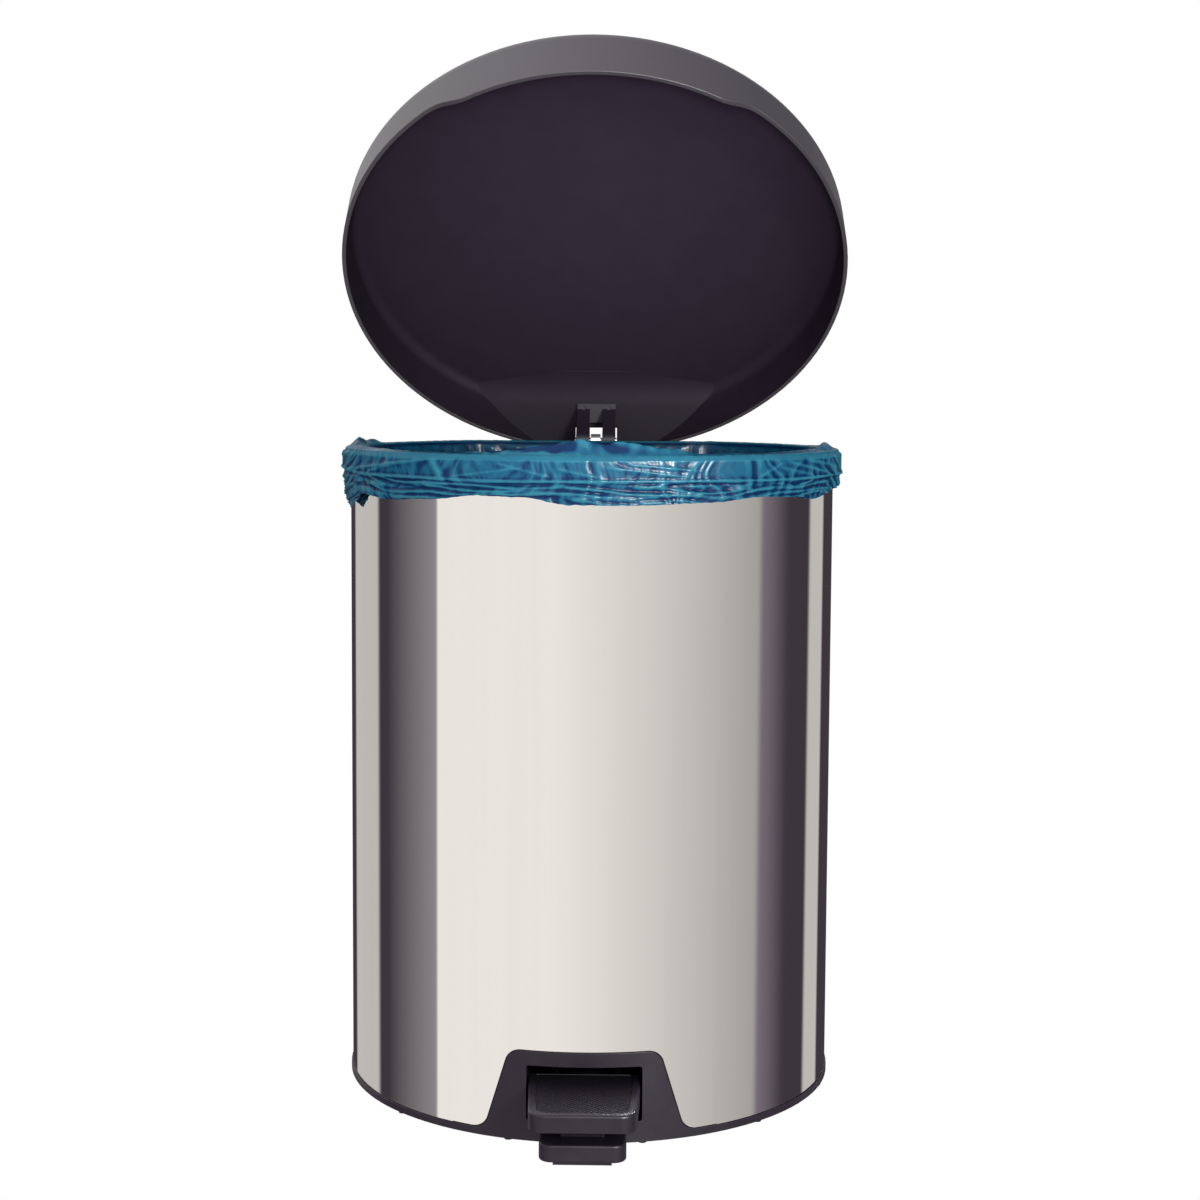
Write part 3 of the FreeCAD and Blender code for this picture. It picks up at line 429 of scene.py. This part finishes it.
def painted_fold_shades(heights, rows):
    """Painted shade and light: 0 in a valley of the film and 1 on a ridge, from how each point stands over
    those round it.
    """
    painted_shades = []
    for i, (kind, share) in enumerate(rows):
        nearby = (max(i - SHADE_REACH, 0), i, min(i + SHADE_REACH, len(rows) - 1))
        # painted highlight over the rim's outer edge
        rim_highlight = rim_highlight_share(kind, share)
        in_sight = kind in ("outside", "lip")
        # the film inside the bucket is painted darker: painted shade
        painted_shade_scale = 1.0 if in_sight else 0.62
        full = 0.0003 if in_sight else 0.0006
        for j in range(LINER_COLUMNS):
            sides = [(j + step) % LINER_COLUMNS for step in (-SHADE_STEP, 0, SHADE_STEP)]
            near = [heights[k][side] for k in nearby for side in sides]
            over = heights[i][j] - sum(near) / len(near)
            painted_shade = min(max(0.5 + 0.5 * over / full, 0.0), 1.0)
            painted_shades.append(painted_shade_scale * (painted_shade + (BRINK_PAINTED_LIGHT - painted_shade) * rim_highlight))
    return painted_shades


def film_off(angle, depth):
    """How far the film stands off outside the rim, in metres. depth is below the top, in metres."""
    a, d = angle * RIM_MM, depth * 1000
    gather = smooth(60, 72, abs(angle)) * (1 - smooth(102, 112, abs(angle)))
    off = 0.7 + 0.55 * hills(a * 0.035, d * 0.05, 3.0)
    # a web of slight folds that mostly hang
    bend = 2.0 * hills(a * 0.04, d * 0.07, 5.0)
    off += 0.55 * ridges(a * 0.14 + bend, d * 0.05, 7.0) * (1 - 0.6 * gather)
    off += 0.16 * ridges(a * 0.42 + bend * 2, d * 0.10, 9.0) * (1 - gather)
    off += 0.05 * hills(a * 1.1, d * 0.25, 11.0) * (1 - gather)
    # gathers at both sides, that fan out upwards
    fan = a * 0.17 * (1 - 0.012 * d) + 0.05 * d
    off += gather * (1.5 * ridges(fan + hills(a * 0.04, d * 0.06) * 0.7, d * 0.03, 31.0) + 0.6)
    for start, end, width, height in OUTSIDE_CREASES:
        off += crease(angle, d, start, end, width, height)
    # under the lip the film is drawn in, and lies in level folds
    lip = 13.0 + 0.9 * hills(a * 0.012, 0.0, 39.0) - 2.2 * bump(-82, 14, angle)
    under = smooth(lip, lip + 1.0, d)
    level = ridges(a * 0.022 + 5, d * 0.30 + 1.2 * hills(a * 0.022, 0.0, 40.0), 41.0)
    off += under * (-1.35 + 1.5 * level * (1 - 0.75 * gather) + 0.45 * hills(a * 0.09, d * 0.4, 43.0))
    off += 0.75 * bump(lip - 0.4, 0.9, d)
    return max(off, -0.1 - 1.2 * smooth(12.5, 14.5, d)) / 1000


def inner_slack(a, d):
    """How far the film stands off the bucket's inside, in metres, at d millimetres down."""
    loose = smooth(0, 45, d)
    off = 0.3 + 4.6 * loose * ridges(a * 0.026 + 0.8 * hills(a * 0.01, d * 0.012), d * 0.006, 61.0)
    off += (0.7 + 1.3 * loose) * ridges(a * 0.085 + hills(a * 0.02, d * 0.03) * 1.6, d * 0.014, 67.0)
    off += 0.7 * ridges(a * 0.05 + d * 0.09, d * 0.03 - a * 0.02, 69.0)
    off += 0.25 * hills(a * 0.5, d * 0.12, 71.0)
    return max(off * smooth(0, 3, d) ** 0.5, 0.0) / 1000


def liner_rows():
    """Kinds of row with how far along each one is."""
    rows = [("outside", i / OUTSIDE_ROWS) for i in range(OUTSIDE_ROWS)]
    rows += [("lip", i / LIP_ROWS) for i in range(LIP_ROWS)]
    rows += [("inside", (i / INSIDE_ROWS) ** INSIDE_CROWDING) for i in range(INSIDE_ROWS)]
    rows += [("bottom", i / BOTTOM_ROWS) for i in range(BOTTOM_ROWS + 1)]
    return rows


EDGE_Z = LIP_TOP - 0.0006        # where the film bends over the lip


def liner_columns():
    """For each column: angle, how freely the film hangs there, three outlines, hem and hump."""
    outer = d_path(LIP_R + 0.0002, LIP_FLAT_Y + 0.0002, LIP_CORNER)
    mouth = d_path(MOUTH_R - 0.0006, MOUTH_FLAT_Y - 0.0006, LIP_CORNER)
    floor = d_path(FLOOR_R - 0.0012, FLOOR_FLAT_Y - 0.0012, LIP_CORNER)
    columns = []
    for j in range(LINER_COLUMNS):
        angle = -180 + 360 * j / LINER_COLUMNS
        radians = math.radians(angle)
        calm = 1 - 0.85 * smooth(104, 112, abs(angle))
        columns.append((angle, calm, outer(radians), mouth(radians), floor(radians),
                        along(HEM_LINE, angle), along(HUMP_LINE, angle) / 1000))
    return columns


def outside_point(share, angle, calm, outer, hem):
    """From the free edge up to the top of the lip."""
    ox, oy, nx, ny = outer
    ragged = 0.0004 * hills(angle * RIM_MM * 0.25, 0.0, 90.0) * (1 - share) * calm
    z = hem + ragged + (EDGE_Z - hem) * share
    off = film_off(angle, LIP_TOP - z) * calm
    off *= 0.5 + 0.5 * smooth(0, 0.002, LIP_TOP - z)
    return (ox + nx * off, oy + ny * off, z), off


def lip_point(t, angle, calm, outer, mouth, hump):
    """A rounded edge first, then across the lip, standing up more or less before it goes down."""
    ox, oy, nx, ny = outer
    mx, my = mouth[:2]
    a = angle * RIM_MM
    across = smooth(0, 1, t) * 0.6 + 0.4 * t
    off = film_off(angle, 0.0006) * calm * 0.5 * (1 - across)
    x = (ox + nx * off) * (1 - across) + mx * across
    y = (oy + ny * off) * (1 - across) + my * across
    rise = 0.0017 * smooth(0, 0.12, t) * (1 - smooth(0.8, 1.0, t))
    stand = hump * math.sin(math.pi * smooth(0.12, 1.0, t)) ** 1.3
    folds = 0.55 + 0.6 * ridges(a * 0.03 + t * 0.8, t * 1.2, 51.0) + 0.2 * hills(a * 0.12, t * 2, 52.0)
    rise += stand * folds * calm
    rise += 0.00025 * hills(a * 0.3, t * 3, 53.0) * smooth(0, 0.1, t)
    return (x, y, EDGE_Z + rise), rise - stand * calm


def inside_point(share, angle, mouth, floor):
    """Down the bucket's inside."""
    mx, my, ux, uy = mouth
    fx, fy = floor[:2]
    depth = share * (EDGE_Z - BUCKET_FLOOR)
    slack = inner_slack(angle * RIM_MM, depth * 1000)
    x = mx + (fx - mx) * share - ux * slack
    y = my + (fy - my) * share - uy * slack
    return (x, y, EDGE_Z - depth + 0.0006 * share), slack


def bottom_point(share, floor):
    """Over the bucket's floor, to its middle."""
    shrink = (1 - share * 0.985) * 0.99
    x, y = floor[0] * shrink, floor[1] * shrink
    rise = 0.001 + 0.004 * ridges(x * 30, y * 30, 81.0) * smooth(0, 0.3, share)
    return (x, y, BUCKET_FLOOR + rise), rise


def make_liner():
    verts = []
    heights = []
    rows = liner_rows()
    columns = liner_columns()
    for kind, share in rows:
        heights.append([])
        for angle, calm, outer, mouth, floor, hem, hump in columns:
            if kind == "outside":
                point, height = outside_point(share, angle, calm, outer, hem)
            elif kind == "lip":
                point, height = lip_point(share, angle, calm, outer, mouth, hump)
            elif kind == "inside":
                point, height = inside_point(share, angle, mouth, floor)
            else:
                point, height = bottom_point(share, floor)
            verts.append(point)
            heights[-1].append(height)
    faces = grid_faces(len(rows), LINER_COLUMNS)
    last = (len(rows) - 1) * LINER_COLUMNS
    faces.append(tuple(last + j for j in range(LINER_COLUMNS)))
    liner = mesh_object("liner_film", verts, faces, liner_film)
    # painted shade and light for the folds, stored on the points
    painted_shades = painted_fold_shades(heights, rows)
    liner.data.attributes.new("painted_fold_shade", "FLOAT", "POINT").data.foreach_set("value", painted_shades)
    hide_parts("liner")
    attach(liner, "bin_body")


make_liner()


# ---- camera ---------------------------------------------------------------------------------------------
CAMERA_DISTANCE = 1.2712
CAMERA_HEIGHT = 0.4223
CAMERA_YAW = math.radians(1.0)
CAMERA_TILT = math.radians(4.689)
CAMERA_ROLL = math.radians(0.316)
CAMERA_LENS = 62.98              # millimetres, on a sensor 36 wide
CAMERA_SENSOR = 36
CAMERA_SHIFT = (0.0070, -0.0434)

camera_data = bpy.data.cameras.new("camera")
camera_data.lens = CAMERA_LENS
camera_data.sensor_width = CAMERA_SENSOR
camera_data.shift_x, camera_data.shift_y = CAMERA_SHIFT
camera = bpy.data.objects.new("camera", camera_data)
bpy.context.scene.collection.objects.link(camera)
camera.location = (CAMERA_DISTANCE * math.sin(CAMERA_YAW),
                   -CAMERA_DISTANCE * math.cos(CAMERA_YAW),
                   CAMERA_HEIGHT)
turn = Matrix.Rotation(CAMERA_YAW, 4, "Z") @ Matrix.Rotation(math.pi / 2 - CAMERA_TILT, 4, "X")
camera.rotation_euler = (turn @ Matrix.Rotation(CAMERA_ROLL, 4, "Z")).to_euler()
bpy.context.scene.camera = camera


# ---- surroundings ---------------------------------------------------------------------------------------
# What the steel mirrors: a dark studio with one big softbox in front and a strip light behind each side.
# Angles are compass degrees from the front towards +X.
ROOM_DARK = 0.05
ROOM_EDGE = 2.5                  # degrees over which a panel fades into the dark
ROOM_PANELS = [                  # from, to, light at from, light at to
    (-150, -120, 0.55, 0.55),    # strip behind on the left
    (-110, -76, 0.05, 0.28),     # the softbox's spill on the left wall
    (-75, -15, 0.90, 0.90),      # softbox
    (-15, 85, 0.90, 0.40),       # the softbox, falling off to the right
    (88, 105, 0.20, 0.06),       # spill on the right wall
    (127, 142, 0.55, 0.55),      # strip behind on the right
]
LIGHT_TINT = (1.0, 0.96, 0.91)
DARK_TINT = (1.0, 0.82, 1.02)


def room_colour(light):
    """Warm where the room is bright, and a little violet where it is dark."""
    warm = smooth(0.15, 0.4, light)
    return tuple(light * (d + (w - d) * warm) for d, w in zip(DARK_TINT, LIGHT_TINT))


def room_stops():
    """(angle, colour) all round the room, in order."""
    lights = [(-180, ROOM_DARK)]
    for start, end, first, last in ROOM_PANELS:
        if start - lights[-1][0] > 2 * ROOM_EDGE:
            if lights[-1][0] > -180:
                lights.append((lights[-1][0] + ROOM_EDGE, ROOM_DARK))
            lights.append((start - ROOM_EDGE, ROOM_DARK))
        if start > lights[-1][0]:
            lights.append((start, first))
        lights.append((end, last))
    lights += [(lights[-1][0] + ROOM_EDGE, ROOM_DARK), (180, ROOM_DARK)]
    return [(angle, room_colour(light)) for angle, light in lights]


def make_world():
    world = bpy.data.worlds.new("room")
    world.use_nodes = True
    tree = world.node_tree
    tree.nodes.clear()

    def add(kind, **settings):
        node = tree.nodes.new(kind)
        for key, value in settings.items():
            setattr(node, key, value)
        return node

    def link(a, b):
        tree.links.new(a, b)

    def background(colour, strength):
        """Both may be a value or a socket."""
        node = add("ShaderNodeBackground")
        if isinstance(colour, tuple):
            node.inputs["Color"].default_value = (*colour, 1)
        else:
            link(colour, node.inputs["Color"])
        if isinstance(strength, float):
            node.inputs["Strength"].default_value = strength
        else:
            link(strength, node.inputs["Strength"])
        return node.outputs[0]

    def choose(factor, a, b):
        node = add("ShaderNodeMixShader")
        link(factor, node.inputs[0])
        link(a, node.inputs[1])
        link(b, node.inputs[2])
        return node.outputs[0]

    def ranged(value, from_low, from_high, to_low, to_high):
        node = add("ShaderNodeMapRange")
        node.inputs["From Min"].default_value = from_low
        node.inputs["From Max"].default_value = from_high
        node.inputs["To Min"].default_value = to_low
        node.inputs["To Max"].default_value = to_high
        link(value, node.inputs["Value"])
        return node.outputs["Result"]

    coords = add("ShaderNodeTexCoord")
    parts = add("ShaderNodeSeparateXYZ")
    link(coords.outputs["Generated"], parts.inputs[0])
    behind = add("ShaderNodeMath", operation="MULTIPLY")
    link(parts.outputs["Y"], behind.inputs[0])
    behind.inputs[1].default_value = -1
    compass = add("ShaderNodeMath", operation="ARCTAN2")
    link(parts.outputs["X"], compass.inputs[0])
    link(behind.outputs[0], compass.inputs[1])
    ramp = add("ShaderNodeValToRGB")
    stops = ramp.color_ramp.elements
    while len(stops) > 1:
        stops.remove(stops[-1])
    for i, (angle, colour) in enumerate(room_stops()):
        stop = stops[0] if i == 0 else stops.new((angle + 180) / 360)
        stop.position = (angle + 180) / 360
        stop.color = (*colour, 1)
    link(ranged(compass.outputs[0], -math.pi, math.pi, 0, 1), ramp.inputs[0])

    # a bright ceiling that fades to the right, over the room
    ceiling = background((1.0, 0.985, 0.99), ranged(parts.outputs["X"], -0.35, 0.75, 1.5, 0.03))
    above = ranged(parts.outputs["Z"], 0.02, 0.2, 0.0, 1.0)
    glossy = choose(above, background(ramp.outputs[0], 1.0), ceiling)
    # soft light on everything, mostly from the front right
    side = add("ShaderNodeVectorMath", operation="DOT_PRODUCT")
    side.inputs[1].default_value = (0.52, -0.84, 0.05)
    link(coords.outputs["Generated"], side.inputs[0])
    soft = background((1.0, 0.97, 0.98), ranged(side.outputs["Value"], -1.0, 1.0, 0.1, 1.4))
    rays = add("ShaderNodeLightPath")
    seen = choose(rays.outputs["Is Glossy Ray"], soft, glossy)
    white = background((1, 1, 1), 1.0)
    output = add("ShaderNodeOutputWorld")
    link(choose(rays.outputs["Is Camera Ray"], seen, white), output.inputs["Surface"])
    bpy.context.scene.world = world


def put_light(name, data, place, aim):
    """A lamp at a place, turned to a point."""
    light = bpy.data.objects.new(name, data)
    light.location = place
    light.rotation_euler = (Vector(aim) - Vector(place)).to_track_quat("-Z", "Y").to_euler()
    bpy.context.scene.collection.objects.link(light)
    return light


def area_light(name, place, aim, size, power, colour):
    """A lamp that is only seen mirrored."""
    data = bpy.data.lights.new(name, "AREA")
    data.shape = "RECTANGLE"
    data.size, data.size_y = size
    data.energy = power
    data.color = colour
    light = put_light(name, data, place, aim)
    light.visible_camera = False
    light.visible_diffuse = False


def spot_light(name, place, aim, degrees, power):
    """A cone that fades from its middle, and that nothing mirrors."""
    data = bpy.data.lights.new(name, "SPOT")
    data.energy = power
    data.spot_size = math.radians(degrees)
    data.spot_blend = 1.0
    data.shadow_soft_size = 0.15
    light = put_light(name, data, place, aim)
    light.visible_glossy = False


make_world()
area_light("sparkle", (0.85, -1.75, 0.78), (0, 0, 0.38), (0.36, 0.32), 130.0, (0.97, 0.98, 1.0))
spot_light("lid_glow", (0.05, -1.1, 0.42), (0.01, 0.02, 0.53), 19, 110.0)
bpy.context.scene.view_settings.view_transform = "Standard"
